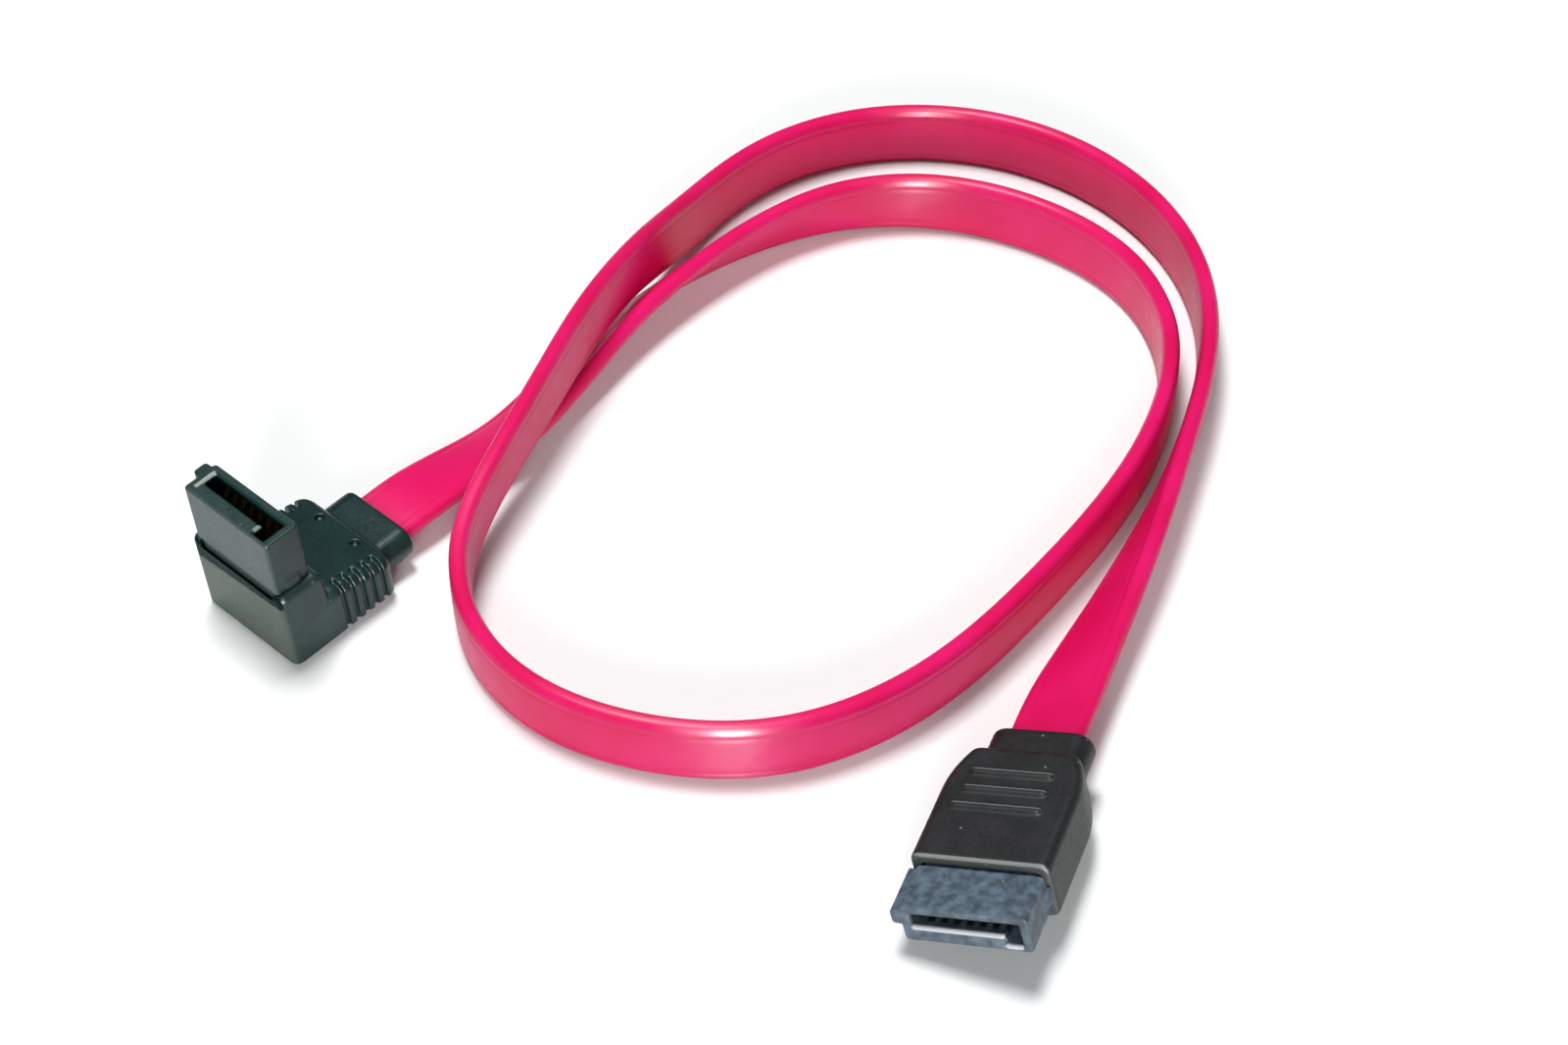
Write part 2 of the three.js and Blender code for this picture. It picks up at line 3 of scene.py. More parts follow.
import bpy
import numpy as np
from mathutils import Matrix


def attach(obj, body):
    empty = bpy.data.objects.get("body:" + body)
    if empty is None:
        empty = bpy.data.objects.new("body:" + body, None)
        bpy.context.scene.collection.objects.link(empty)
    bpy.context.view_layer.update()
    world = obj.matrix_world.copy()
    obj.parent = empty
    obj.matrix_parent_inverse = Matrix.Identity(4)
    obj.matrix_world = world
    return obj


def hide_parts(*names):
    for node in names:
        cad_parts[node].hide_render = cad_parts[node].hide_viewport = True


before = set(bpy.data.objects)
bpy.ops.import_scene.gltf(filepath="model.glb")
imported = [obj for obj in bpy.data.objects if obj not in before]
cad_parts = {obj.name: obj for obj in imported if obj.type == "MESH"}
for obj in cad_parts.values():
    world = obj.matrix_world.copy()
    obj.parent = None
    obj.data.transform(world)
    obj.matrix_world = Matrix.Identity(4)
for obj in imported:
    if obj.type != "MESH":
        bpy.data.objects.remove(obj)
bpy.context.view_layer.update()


# Camera: a long lens that looks down on the cable at 45 degrees from the side of the straight
# connector. Places and sizes are given in millimetres, which mm turns into Blender's metres.
mm = 0.001
camera = bpy.data.objects.new("camera", bpy.data.cameras.new("camera"))
camera.data.lens = 67.5
camera.data.sensor_width = 36
camera.data.clip_start = 0.01
camera.data.clip_end = 10
camera.location = (14.85 * mm, -191.1 * mm, 221.9 * mm)
camera.rotation_euler = (math.radians(44.9), 0, 0)
bpy.context.scene.collection.objects.link(camera)
bpy.context.scene.camera = camera


# Ribbon: the cable's jacket, soft PVC extruded round two shielded pairs. It leaves both
# connectors flat, stands up on its edge and runs round twice, crossing over itself once.
# A connector's place is that of its own origin, with its turns in degrees.
angled_place = {"at": (-39.7, 13.9, 0.01), "turn": -42.9, "tip": 3.6, "roll": 0}
straight_place = {"at": (31.4, -28.2, 5.76), "turn": -20.5, "tip": -3.2, "roll": -15.5}
cable_height = 2.0
angled_collar_end = 18.2
straight_collar_end = 25.3
ribbon_grip = 3.4
ribbon_run_out = 3.6
ribbon_width = 7.6
ribbon_thickness = 2.1
edge_corner = 0.78
groove_place = 2.5
groove_depth = 0.07
groove_width = 0.16
crown = 0.08
steps_along = 1200
# Each row is a point of the middle line and the ribbon's roll about it in degrees: near 0 or
# 180 where it lies flat, and 90 where it stands on its edge.
ribbon_route = [
    [-15.0, 41.5, 2.16, 19], [-9.1, 50.5, 2.43, 27], [-3.6, 58.8, 2.85, 40],
    [3.0, 66.5, 3.24, 51], [11.4, 73.6, 3.59, 66], [21.4, 78.4, 3.95, 81],
    [33.3, 79.1, 3.95, 89], [45.3, 74.4, 3.85, 90], [53.9, 65.8, 3.85, 90],
    [57.4, 54.4, 3.85, 90], [55.9, 42.8, 3.85, 90], [49.8, 29.1, 3.85, 90],
    [41.0, 16.3, 3.85, 90], [27.2, 1.6, 3.85, 90], [14.7, -4.4, 3.85, 90],
    [-0.7, -3.5, 3.85, 90], [-10.1, 1.4, 3.87, 90], [-16.8, 10.7, 4.08, 91],
    [-18.2, 20.4, 5.16, 90], [-15.5, 30.0, 6.87, 87], [-11.2, 40.8, 8.16, 89],
    [-6.9, 51.8, 8.87, 90], [-2.2, 62.7, 7.85, 88], [3.1, 74.1, 4.65, 92],
    [11.7, 85.4, 3.92, 90], [23.7, 91.8, 3.87, 90], [36.5, 92.1, 3.85, 90],
    [48.3, 87.0, 3.85, 90], [57.3, 77.2, 3.85, 90], [61.8, 64.8, 3.85, 90],
    [61.5, 50.4, 3.85, 91], [57.3, 36.2, 3.85, 101], [51.1, 20.8, 3.55, 124],
    [45.2, 7.8, 3.5, 149],
]


def frame_of(place):
    """Turn matrix and place of a connector: rolled about y, tipped about x, turned about z."""
    turn, tip, roll = (math.radians(place[word]) for word in ("turn", "tip", "roll"))
    about_z = np.array([
        [math.cos(turn), -math.sin(turn), 0], [math.sin(turn), math.cos(turn), 0], [0, 0, 1]])
    about_x = np.array([
        [1, 0, 0], [0, math.cos(tip), -math.sin(tip)], [0, math.sin(tip), math.cos(tip)]])
    about_y = np.array([
        [math.cos(roll), 0, math.sin(roll)], [0, 1, 0], [-math.sin(roll), 0, math.cos(roll)]])
    return about_z @ about_x @ about_y, np.array(place["at"])


def collar_points(place, collar_end, height, roll):
    """Three points on a connector's cable axis, from inside its collar to a little way out."""
    matrix, at = frame_of(place)
    reach = collar_end + np.array([-ribbon_grip, 0, ribbon_run_out])
    points = np.column_stack([np.zeros(3), reach, np.full(3, height)]) @ matrix.T + at
    return np.column_stack([points, np.full(3, roll)])


def smooth_line(knots, count):
    """Natural cubic spline through the knots, over the distance from knot to knot. Its bend
    varies evenly along it. The points returned lie at even distances along the line, which are
    read off a much finer run of points."""
    finer = 20
    steps = np.linalg.norm(np.diff(knots[:, :3], axis=0), axis=1)
    at = np.concatenate([[0], np.cumsum(steps)])
    slopes = np.diff(knots, axis=0) / steps[:, None]
    system = np.eye(len(knots))
    inner = np.arange(1, len(knots) - 1)
    system[inner, inner - 1] = steps[:-1]
    system[inner, inner] = 2 * (steps[:-1] + steps[1:])
    system[inner, inner + 1] = steps[1:]
    right = np.zeros_like(knots)
    right[1:-1] = 6 * np.diff(slopes, axis=0)
    bend = np.linalg.solve(system, right)

    def on_line(distance):
        """Cubic between the two nearest knots: the straight line from one to the other, and
        what their bends add to it."""
        i = np.clip(np.searchsorted(at, distance, side="right") - 1, 0, len(steps) - 1)
        h = steps[i][:, None]
        a = (at[i + 1] - distance)[:, None]
        b = (distance - at[i])[:, None]
        return ((bend[i] * a ** 3 + bend[i + 1] * b ** 3) / (6 * h)
                + (knots[i] / h - bend[i] * h / 6) * a
                + (knots[i + 1] / h - bend[i + 1] * h / 6) * b)

    fine = np.linspace(0, at[-1], finer * count)
    places = on_line(fine)
    run = np.linalg.norm(np.diff(places[:, :3], axis=0), axis=1)
    covered = np.concatenate([[0], np.cumsum(run)])
    return on_line(np.interp(np.linspace(0, covered[-1], count), covered, fine))


def ribbon_section():
    """Closed outline across the ribbon, as distances along its width and through it: two flats,
    a little crowned as 1 - (w / flat)^2, joined by edges with quarter-circle corners. A fine
    groove dips into each flat beside each edge."""
    flat_steps = 29
    corner_steps = 6
    half = ribbon_width / 2
    edge = ribbon_thickness / 2
    flat_end = half - edge_corner
    flat = flat_end * np.sin(np.linspace(-math.pi / 2, math.pi / 2, flat_steps))
    dip = groove_depth * np.exp(-((np.abs(flat) - groove_place) / groove_width) ** 2)
    hollow = crown * (flat / flat_end) ** 2
    turn = np.linspace(-math.pi / 2, 0, corner_steps)[1:]
    low_corner = np.column_stack([flat_end + edge_corner * np.cos(turn),
                                  edge_corner - edge + crown
                                  + (edge_corner - crown) * np.sin(turn)])
    lower = np.column_stack([flat, dip + hollow - edge])
    right = np.concatenate([low_corner, low_corner[::-1] * [1, -1]])
    return np.concatenate([lower, right, -lower, -right])


def ring_faces(rings, around):
    """Quads between rings of points, each ring closed on itself, with the rings in order."""
    ring, step = np.meshgrid(np.arange(rings - 1), np.arange(around), indexing="ij")
    following = (step + 1) % around
    corners = [ring * around + step, ring * around + following,
               (ring + 1) * around + following, (ring + 1) * around + step]
    return np.stack(corners, axis=-1).reshape(-1, 4)


def skin(name, rings):
    """Closed mesh over rings of points in millimetres, with a flat face on the first and the
    last ring. The faces are turned so that the volume inside counts as positive."""
    count, around = rings.shape[:2]
    points = rings.reshape(-1, 3) * mm
    quads = ring_faces(count, around)
    ends = [list(range(around))[::-1], list(range((count - 1) * around, count * around))]
    a, b, c, d = (points[quads[:, i]] for i in range(4))
    middle = points.mean(axis=0)
    inside = np.einsum("ij,ij->i", a - middle, np.cross(b - middle, c - middle)).sum()
    inside += np.einsum("ij,ij->i", a - middle, np.cross(c - middle, d - middle)).sum()
    faces = quads.tolist() + ends
    if inside < 0:
        faces = [face[::-1] for face in faces]
    mesh = bpy.data.meshes.new(name)
    mesh.from_pydata(points.tolist(), [], faces)
    mesh.polygons.foreach_set("use_smooth", np.ones(len(mesh.polygons), bool))
    mesh.update()
    piece = bpy.data.objects.new(name, mesh)
    bpy.context.scene.collection.objects.link(piece)
    return piece


def along_ribbon_map(piece, rings, around, length):
    """UV map of the ribbon in metres: u is the distance along it, v the distance round it."""
    corner = np.zeros(len(piece.data.loops), int)
    piece.data.loops.foreach_get("vertex_index", corner)
    first = np.zeros(len(piece.data.polygons), int)
    piece.data.polygons.foreach_get("loop_start", first)
    sides = np.zeros(len(piece.data.polygons), int)
    piece.data.polygons.foreach_get("loop_total", sides)
    face = np.repeat(np.arange(len(first)), sides)
    u = (corner // around) * length / (rings - 1)
    v = (corner % around).astype(float)
    highest = np.maximum.reduceat(v, first)
    crosses = (highest[face] == around - 1) & (v == 0) & (sides[face] == 4)
    v[crosses] = around
    girth = 2 * (ribbon_width + ribbon_thickness) * mm
    layer = piece.data.uv_layers.new(name="along")
    layer.data.foreach_set("uv", np.column_stack([u, v * girth / around]).ravel())


route = np.array(
    collar_points(angled_place, angled_collar_end, cable_height, -angled_place["roll"]).tolist()
    + ribbon_route
    + collar_points(straight_place, straight_collar_end, 0,
                    180 + straight_place["roll"]).tolist()[::-1], float)
line = smooth_line(route, steps_along)
centre = line[:, :3]
along = np.gradient(centre, axis=0)
along /= np.linalg.norm(along, axis=1, keepdims=True)
aside = np.cross(along, [0, 0, 1])
aside /= np.linalg.norm(aside, axis=1, keepdims=True)
over = np.cross(aside, along)
roll = np.radians(line[:, 3:])
wide = aside * np.cos(roll) + over * np.sin(roll)
thick = aside * np.sin(roll) - over * np.cos(roll)
section = ribbon_section()
ribbon_rings = (centre[:, None] + section[None, :, :1] * wide[:, None]
                + section[None, :, 1:] * thick[:, None])
ribbon = skin("ribbon_jacket", ribbon_rings)
ribbon_length = np.linalg.norm(np.diff(centre, axis=0), axis=1).sum() * mm
along_ribbon_map(ribbon, len(centre), len(section), ribbon_length)


def linear(code):
    """Linear colour of an sRGB hex value: each channel through the sRGB curve."""
    channels = np.array([int(code[i:i + 2], 16) for i in (0, 2, 4)]) / 255
    curve = np.where(channels <= 0.04045, channels / 12.92, ((channels + 0.055) / 1.055) ** 2.4)
    return (*curve.tolist(), 1)


def add_node(tree, kind, inputs=None, **settings):
    """Adds one node. An input is a plain value, or another node's output to link to it."""
    node = tree.nodes.new(kind)
    for name, value in settings.items():
        setattr(node, name, value)
    for name, value in (inputs or {}).items():
        if isinstance(value, bpy.types.NodeSocket):
            tree.links.new(value, node.inputs[name])
        else:
            node.inputs[name].default_value = value
    return node


def new_material(name):
    """An empty node material, with its tree."""
    material = bpy.data.materials.new(name)
    material.use_nodes = True
    material.node_tree.nodes.clear()
    return material, material.node_tree


def extruded_pvc():
    """Soft PVC drawn through a die: glossy and a little wavy, with a few specks of dust. Fine
    lines along its length draw a highlight out across it. Real die lines are finer, and are
    drawn as coarse as they need to be to show."""
    die_line_mm = 0.35
    changes_per_metre = 60
    line_share = 0.4
    wave_mm = 1.6
    shade_mm = 9
    dust_mm = 5.5
    dust_size = 0.011
    dust_cover = 0.7
    least_roughness, most_roughness = 0.3, 0.37
    relief_mm = 0.05
    material, tree = new_material("extruded_crimson_pvc")
    own = add_node(tree, "ShaderNodeTexCoord")
    lines_at = add_node(tree, "ShaderNodeMapping", {
        "Vector": own.outputs["UV"], "Scale": (changes_per_metre, 1000 / die_line_mm, 1)})
    lines = add_node(tree, "ShaderNodeTexNoise", {
        "Vector": lines_at.outputs["Vector"], "Scale": 1, "Detail": 2})
    waves = add_node(tree, "ShaderNodeTexNoise", {
        "Vector": own.outputs["Object"], "Scale": 1000 / wave_mm, "Detail": 3})
    shades = add_node(tree, "ShaderNodeTexNoise", {
        "Vector": own.outputs["Object"], "Scale": 1000 / shade_mm, "Detail": 2})
    colour = add_node(tree, "ShaderNodeValToRGB", {"Fac": shades.outputs["Fac"]})
    colour.color_ramp.elements[0].position = 0.35
    colour.color_ramp.elements[0].color = linear("cb0c53")
    colour.color_ramp.elements[1].position = 0.65
    colour.color_ramp.elements[1].color = linear("d31462")
    dust = add_node(tree, "ShaderNodeTexVoronoi", {
        "Vector": own.outputs["Object"], "Scale": 1000 / dust_mm})
    speck = add_node(tree, "ShaderNodeMapRange", {
        "Value": dust.outputs["Distance"], "From Min": dust_size, "From Max": 1.6 * dust_size,
        "To Min": dust_cover, "To Max": 0})
    dust_and_sheen = add_node(tree, "ShaderNodeMix", {
        0: speck.outputs["Result"], 6: colour.outputs["Color"], 7: linear("f0b4c6")},
        data_type="RGBA")
    gloss = add_node(tree, "ShaderNodeMapRange", {
        "Value": waves.outputs["Fac"], "From Min": 0.3, "From Max": 0.7,
        "To Min": least_roughness, "To Max": most_roughness})
    surface = add_node(tree, "ShaderNodeMath", {
        0: lines.outputs["Fac"], 1: line_share, 2: waves.outputs["Fac"]},
        operation="MULTIPLY_ADD")
    bump = add_node(tree, "ShaderNodeBump", {
        "Height": surface.outputs["Value"], "Strength": 0.12, "Distance": relief_mm * mm})
    drawn = add_node(tree, "ShaderNodeTangent", direction_type="UV_MAP", uv_map="along")
    shader = add_node(tree, "ShaderNodeBsdfPrincipled", {
        "Base Color": dust_and_sheen.outputs[2], "Roughness": gloss.outputs["Result"],
        "Normal": bump.outputs["Normal"], "IOR": 1.53, "Tangent": drawn.outputs["Tangent"],
        "Anisotropic": 0.8, "Anisotropic Rotation": 0.25, "Specular IOR Level": 0.28})
    add_node(tree, "ShaderNodeOutputMaterial", {"Surface": shader.outputs["BSDF"]})
    return material


ribbon.data.materials.append(extruded_pvc())
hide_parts("ribbon")
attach(ribbon, "root")


# Straight overmould: soft black PVC moulded over the insert's seat and the ribbon's end, with
# shoulders that draw in to a collar and three raised grip bars on each face.
straight_nose = 5.7
straight_seat = 5.2
straight_rear = 21.1
straight_half_width = 6.9
straight_half_thickness = 3.3
straight_rear_half = 5.3
shoulder_start = 15.1
shoulder_pull = 2.6
rear_pull = 1.4
collar_half_width = 5.25
collar_half_thickness = 1.9
collar_corner = 1.8
seat_half_width = 5.7
seat_half_thickness = 2.0
fit_gap = 0.3
join = 0.4
wire_half_space = 4.51
pocket_ring = (4.0, 1.25)
pocket_corner = 1.2
seat_space_corner = 0.65
jacket_in_pocket = 5.5
least_corner = 0.05
overmould_net = 0.13
straight_softening = 4
# A cutter reaches this far past the face that it opens.
reach_past = 1


def rounded_ring(half_a, half_b, radius):
    """Outline of a rounded rectangle: quarter circles about its four corner centres."""
    corner_steps = 7
    radius = min(radius, half_a - least_corner / 2, half_b - least_corner / 2)
    turn = np.linspace(0, math.pi / 2, corner_steps)
    sides = []
    for i, (a, b) in enumerate([(1, 1), (-1, 1), (-1, -1), (1, -1)]):
        angle = turn + i * math.pi / 2
        sides.append(np.column_stack([a * (half_a - radius) + radius * np.cos(angle),
                                      b * (half_b - radius) + radius * np.sin(angle)]))
    return np.concatenate(sides)


def end_rounds(start, end, first_round, last_round):
    """Places along a bar and the inset of its outline there: a quarter circle at either end."""
    round_steps = 6
    places = []
    for edge, inward, size in ((start, 1, first_round), (end, -1, last_round)):
        turn = np.linspace(0, math.pi / 2, round_steps if size else 1)
        curve = np.column_stack([edge + inward * size * (1 - np.cos(turn)),
                                 size * (1 - np.sin(turn))])
        places.append(curve[::inward])
    return np.concatenate(places)


def loft(name, axis, sections):
    """Skin over outlines that lie across the y axis (1) or the z axis (2), each given as its
    place on the axis and its points."""
    return skin(name, np.array([
        np.insert(np.asarray(outline, float), axis, place, axis=1)
        for place, outline in sections]))


def bar(name, axis, ring, start, end, first_round=0, last_round=0):
    """Bar over a rounded rectangle, given as half sizes, corner and middle."""
    half_a, half_b, corner, middle_a, middle_b = ring
    return loft(name, axis, [
        (place, rounded_ring(half_a - inset, half_b - inset, max(corner - inset, least_corner))
         + [middle_a, middle_b])
        for place, inset in end_rounds(start, end, first_round, last_round)])


def straight_body():
    """The overmould without its collar: a rounded rectangle whose half width follows the plan,
    a straight side and then a cubic curve, and which draws in over a quarter circle at both
    ends."""
    front_round = 0.35
    rear_round = 0.8
    corner = 0.95
    shoulder_steps = 14
    share = np.linspace(0, 1, shoulder_steps)[:, None]
    pulls = np.array([
        [straight_half_width, shoulder_start],
        [straight_half_width, shoulder_start + shoulder_pull],
        [straight_rear_half + rear_pull / 2, straight_rear - rear_pull],
        [straight_rear_half, straight_rear]])
    curve = ((1 - share) ** 3 * pulls[0] + 3 * (1 - share) ** 2 * share * pulls[1]
             + 3 * (1 - share) * share ** 2 * pulls[2] + share ** 3 * pulls[3])
    sections = []
    for y, inset in end_rounds(straight_nose, shoulder_start, front_round, 0)[:-1]:
        ring = rounded_ring(straight_half_width - inset, straight_half_thickness - inset, corner)
        sections.append((y, ring))
    for half_width, y in curve:
        short = max(0.0, y - (straight_rear - rear_round))
        inset = rear_round - math.sqrt(rear_round ** 2 - min(short, rear_round) ** 2)
        ring = rounded_ring(half_width - inset / 2, straight_half_thickness - inset, corner)
        sections.append((y, ring))
    return loft("straight_overmould", 1, sections)


def work(piece, additions, cuts, size, softening):
    """Joins the additions to the piece and takes the cuts out of it, then covers the result
    with an even net of the given size and evens that out as often as softening says, which
    rounds every edge a little as a mould does."""
    for tools, operation in ((additions, "UNION"), (cuts, "DIFFERENCE")):
        for tool in tools:
            step = piece.modifiers.new(tool.name, "BOOLEAN")
            step.object = tool
            step.operation = operation
            step.solver = "EXACT"
    net = piece.modifiers.new("net", "REMESH")
    net.mode = "VOXEL"
    net.voxel_size = size * mm
    even = piece.modifiers.new("even", "SMOOTH")
    even.factor = 0.5
    even.iterations = softening
    graph = bpy.context.evaluated_depsgraph_get()
    mesh = bpy.data.meshes.new_from_object(piece.evaluated_get(graph))
    piece.modifiers.clear()
    piece.data = mesh
    mesh.polygons.foreach_set("use_smooth", np.ones(len(mesh.polygons), bool))
    for tool in additions + cuts:
        bpy.data.objects.remove(tool)
    return piece


def shade(piece, formula):
    """Keeps with each point of the mesh, as the attribute "tone", how far it is lighter (up to
    1) or darker (down to -1) than the piece's plain colour. The formula gives it from the
    point's place in millimetres in the mesh's own frame."""
    points = np.zeros(len(piece.data.vertices) * 3)
    piece.data.vertices.foreach_get("co", points)
    layer = piece.data.attributes.new("tone", "FLOAT", "POINT")
    layer.data.foreach_set("value", formula(*(points.reshape(-1, 3) / mm).T))


def past(value, edge, fade):
    """0 before the edge and 1 behind it: a straight rise, half a fade wide on either side."""
    return np.clip((value - edge) / fade + 0.5, 0, 1)


def settle(piece, place, turned=np.eye(3), moved=(0, 0, 0)):
    """Moves the mesh from its own frame into its connector's, and on to where that lies."""
    matrix, at = frame_of(place)
    points = np.zeros(len(piece.data.vertices) * 3)
    piece.data.vertices.foreach_get("co", points)
    made = points.reshape(-1, 3) @ np.asarray(turned, float).T + np.array(moved) * mm
    piece.data.vertices.foreach_set("co", (made @ matrix.T + at * mm).ravel())
    piece.data.update()


# Where each grip bar lies along the overmould, and its left and right ends.
grip_places = [(12.6, -5.05, 4.0), (14.95, -4.5, 3.8), (17.3, -4.4, 3.8)]


def grip_bars():
    """Raised bars with round ends, sunk a little into both faces of the overmould."""
    half_width = 0.375
    height = 0.3
    sunk = 0.4
    edge = 0.2
    bars = []
    for y, left, right in grip_places:
        ring = ((right - left) / 2, half_width, half_width, (left + right) / 2, y)
        top = straight_half_thickness + height
        bars.append(bar("bar", 2, ring, straight_half_thickness - sunk, top, 0, edge))
        bars.append(bar("bar", 2, ring, -top, sunk - straight_half_thickness, edge, 0))
    return bars


def collar(rear, end, height):
    """The sleeve that an overmould ends in, round the ribbon."""
    sunk = 1.5
    end_round = 0.5
    ring = (collar_half_width, collar_half_thickness, collar_corner, 0, height)
    return bar("collar", 1, ring, rear - sunk, end, 0, end_round)


def ribbon_pocket(end, height):
    """The space that the ribbon's end fills in a collar."""
    ring = (*pocket_ring, pocket_corner, 0, height)
    return bar("pocket", 1, ring, end - jacket_in_pocket - join, end + reach_past)


def straight_hollows():
    """Cutters for the spaces that the insert's seat, the wires and the ribbon fill."""
    wire_corner = 0.2
    seat_ring = (seat_half_width + fit_gap, seat_half_thickness + fit_gap, seat_space_corner,
                 0, 0)
    wire_ring = (wire_half_space, seat_half_thickness, wire_corner, 0, 0)
    seat_end = straight_nose + straight_seat
    return [bar("seat", 1, seat_ring, straight_nose - reach_past, seat_end + fit_gap),
            bar("wires", 1, wire_ring, seat_end, straight_collar_end - jacket_in_pocket),
            ribbon_pocket(straight_collar_end, 0)]


def straight_ridges(x, y, z):
    """Painted highlights on the ridges: the edge over the front face, and the rear edge of every
    grip bar.
    The front face takes a little painted sheen all over."""
    front_band = 0.3
    edge_band = 0.25
    bar_rear = 0.12
    bar_end = 0.6
    bar_rise = 0.08
    # Strengths of the painted highlight on the bars' rear edges, the painted sheen on the front
    # face and the painted highlights on the ridges.
    bar_highlight = 1.4
    dust_and_sheen = 0.1
    paler = 0.5
    fade = 0.1
    front = past(-y, -straight_nose - front_band, fade)
    edge = front * past(z, straight_half_thickness - edge_band, fade)
    for bar_y, _, _ in grip_places:
        behind = past(y, bar_y + bar_rear, fade) * past(-y, -bar_y - bar_end, fade)
        raised = past(np.abs(z), straight_half_thickness + bar_rise, fade / 2)
        edge = edge + bar_highlight * behind * raised
    return dust_and_sheen * front + paler * edge


straight_overmould = work(
    straight_body(),
    [collar(straight_rear, straight_collar_end, 0)] + grip_bars(),
    straight_hollows(), overmould_net, straight_softening)
shade(straight_overmould, straight_ridges)
settle(straight_overmould, straight_place)


def moulded_plastic(name, body, paler, light, dark, roughness, grain_mm, blotch_mm, specks,
                    specular=0.32):
    """Plastic from a spark-eroded mould: dull, with an even fine grain, a slightly blotched
    colour and scattered pale specks of dust. The attribute "tone" draws it to its light or its
    dark colour, which paint highlights, sheen and shade on it, and dark places are a little
    smoother. A real eroded grain is finer, and is drawn as coarse as it needs to be to show."""
    speck_mm = 1.9
    speck_size = 0.04
    uneven = 0.07
    smoother = -0.2
    relief_mm = 0.04
    material, tree = new_material(name)
    own = add_node(tree, "ShaderNodeTexCoord")
    blotches = add_node(tree, "ShaderNodeTexNoise", {
        "Vector": own.outputs["Object"], "Scale": 1000 / blotch_mm, "Detail": 4})
    grain = add_node(tree, "ShaderNodeTexNoise", {
        "Vector": own.outputs["Object"], "Scale": 1000 / grain_mm, "Detail": 3})
    colour = add_node(tree, "ShaderNodeValToRGB", {"Fac": blotches.outputs["Fac"]})
    colour.color_ramp.elements[0].position = 0.35
    colour.color_ramp.elements[0].color = linear(body)
    colour.color_ramp.elements[1].position = 0.7
    colour.color_ramp.elements[1].color = linear(paler)
    dust = add_node(tree, "ShaderNodeTexVoronoi", {
        "Vector": own.outputs["Object"], "Scale": 1000 / speck_mm})
    speck = add_node(tree, "ShaderNodeMapRange", {
        "Value": dust.outputs["Distance"], "From Min": speck_size, "From Max": 2 * speck_size,
        "To Min": specks, "To Max": 0})
    dust_and_sheen = add_node(tree, "ShaderNodeMix", {
        0: speck.outputs["Result"], 6: colour.outputs["Color"], 7: linear("a8b4b2")},
        data_type="RGBA")
    tone = add_node(tree, "ShaderNodeAttribute", attribute_name="tone")
    lighter = add_node(tree, "ShaderNodeMapRange", {
        "Value": tone.outputs["Fac"], "From Min": 0, "From Max": 1})
    darker = add_node(tree, "ShaderNodeMapRange", {
        "Value": tone.outputs["Fac"], "From Min": 0, "From Max": -1})
    raised = add_node(tree, "ShaderNodeMix", {
        0: lighter.outputs["Result"], 6: dust_and_sheen.outputs[2], 7: linear(light)}, data_type="RGBA")
    toned = add_node(tree, "ShaderNodeMix", {
        0: darker.outputs["Result"], 6: raised.outputs[2], 7: linear(dark)}, data_type="RGBA")
    even = add_node(tree, "ShaderNodeMapRange", {
        "Value": grain.outputs["Fac"], "From Min": 0.3, "From Max": 0.7,
        "To Min": roughness - uneven, "To Max": roughness + uneven})
    gloss = add_node(tree, "ShaderNodeMath", {
        0: darker.outputs["Result"], 1: smoother, 2: even.outputs["Result"]},
        operation="MULTIPLY_ADD")
    bump = add_node(tree, "ShaderNodeBump", {
        "Height": grain.outputs["Fac"], "Strength": 0.35, "Distance": relief_mm * mm})
    shader = add_node(tree, "ShaderNodeBsdfPrincipled", {
        "Base Color": toned.outputs[2], "Roughness": gloss.outputs["Value"],
        "Normal": bump.outputs["Normal"], "IOR": 1.5, "Specular IOR Level": specular})
    add_node(tree, "ShaderNodeOutputMaterial", {"Surface": shader.outputs["BSDF"]})
    return material


def finish_piece(piece, material, node):
    """The piece takes its material and stands for its CAD node."""
    piece.data.materials.clear()
    piece.data.materials.append(material)
    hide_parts(node)
    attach(piece, "root")


# Charcoal PVC: near black and dull, with painted highlights on its ridges and a little painted
# sheen on its front face.
finish_piece(
    straight_overmould,
    moulded_plastic("moulded_charcoal_pvc", body="131517", paler="1f2123", light="8c9290",
                    dark="0a0b0c", roughness=0.5, grain_mm=0.35, blotch_mm=2.5, specks=0.45),
    "straight_moulding")


# Angled overmould: soft dark green-black PVC round the standing insert. Its back slopes down
# to the collar, and five grip grooves wrap each rounded side.
angled_nose = 7.3
angled_seat = 4.7
angled_half_width = 7.1
angled_depth = 14.2
angled_front_height = 10.2
angled_step_height = 6.3
angled_rear_height = 5.2
slope_start = 6.2
slope_end = 13.0
step_run = 1.0
nose_middle = 2.4
side_round = 1.15
foot_round = 0.35
angled_softening = 3


def slope_height(y):
    """Height of the back at a distance from the front face: straight from step to rear."""
    share = min(max((slope_end - y) / (slope_end - slope_start), 0), 1)
    return angled_rear_height + share * (angled_step_height - angled_rear_height)


def hooded_ring(half_width, low, high, top_round, bottom_round):
    """Outline across the back: a rectangle with larger quarter circles on top than below."""
    corner_steps = 9
    turn = np.linspace(0, math.pi / 2, corner_steps)
    corners = []
    for i, (side, level, size) in enumerate([
            (1, high, top_round), (-1, high, top_round),
            (-1, low, bottom_round), (1, low, bottom_round)]):
        angle = turn + i * math.pi / 2
        up = 1 if i < 2 else -1
        corners.append(np.column_stack([side * (half_width - size) + size * np.cos(angle),
                                        level - up * size + size * np.sin(angle)]))
    return np.concatenate(corners)


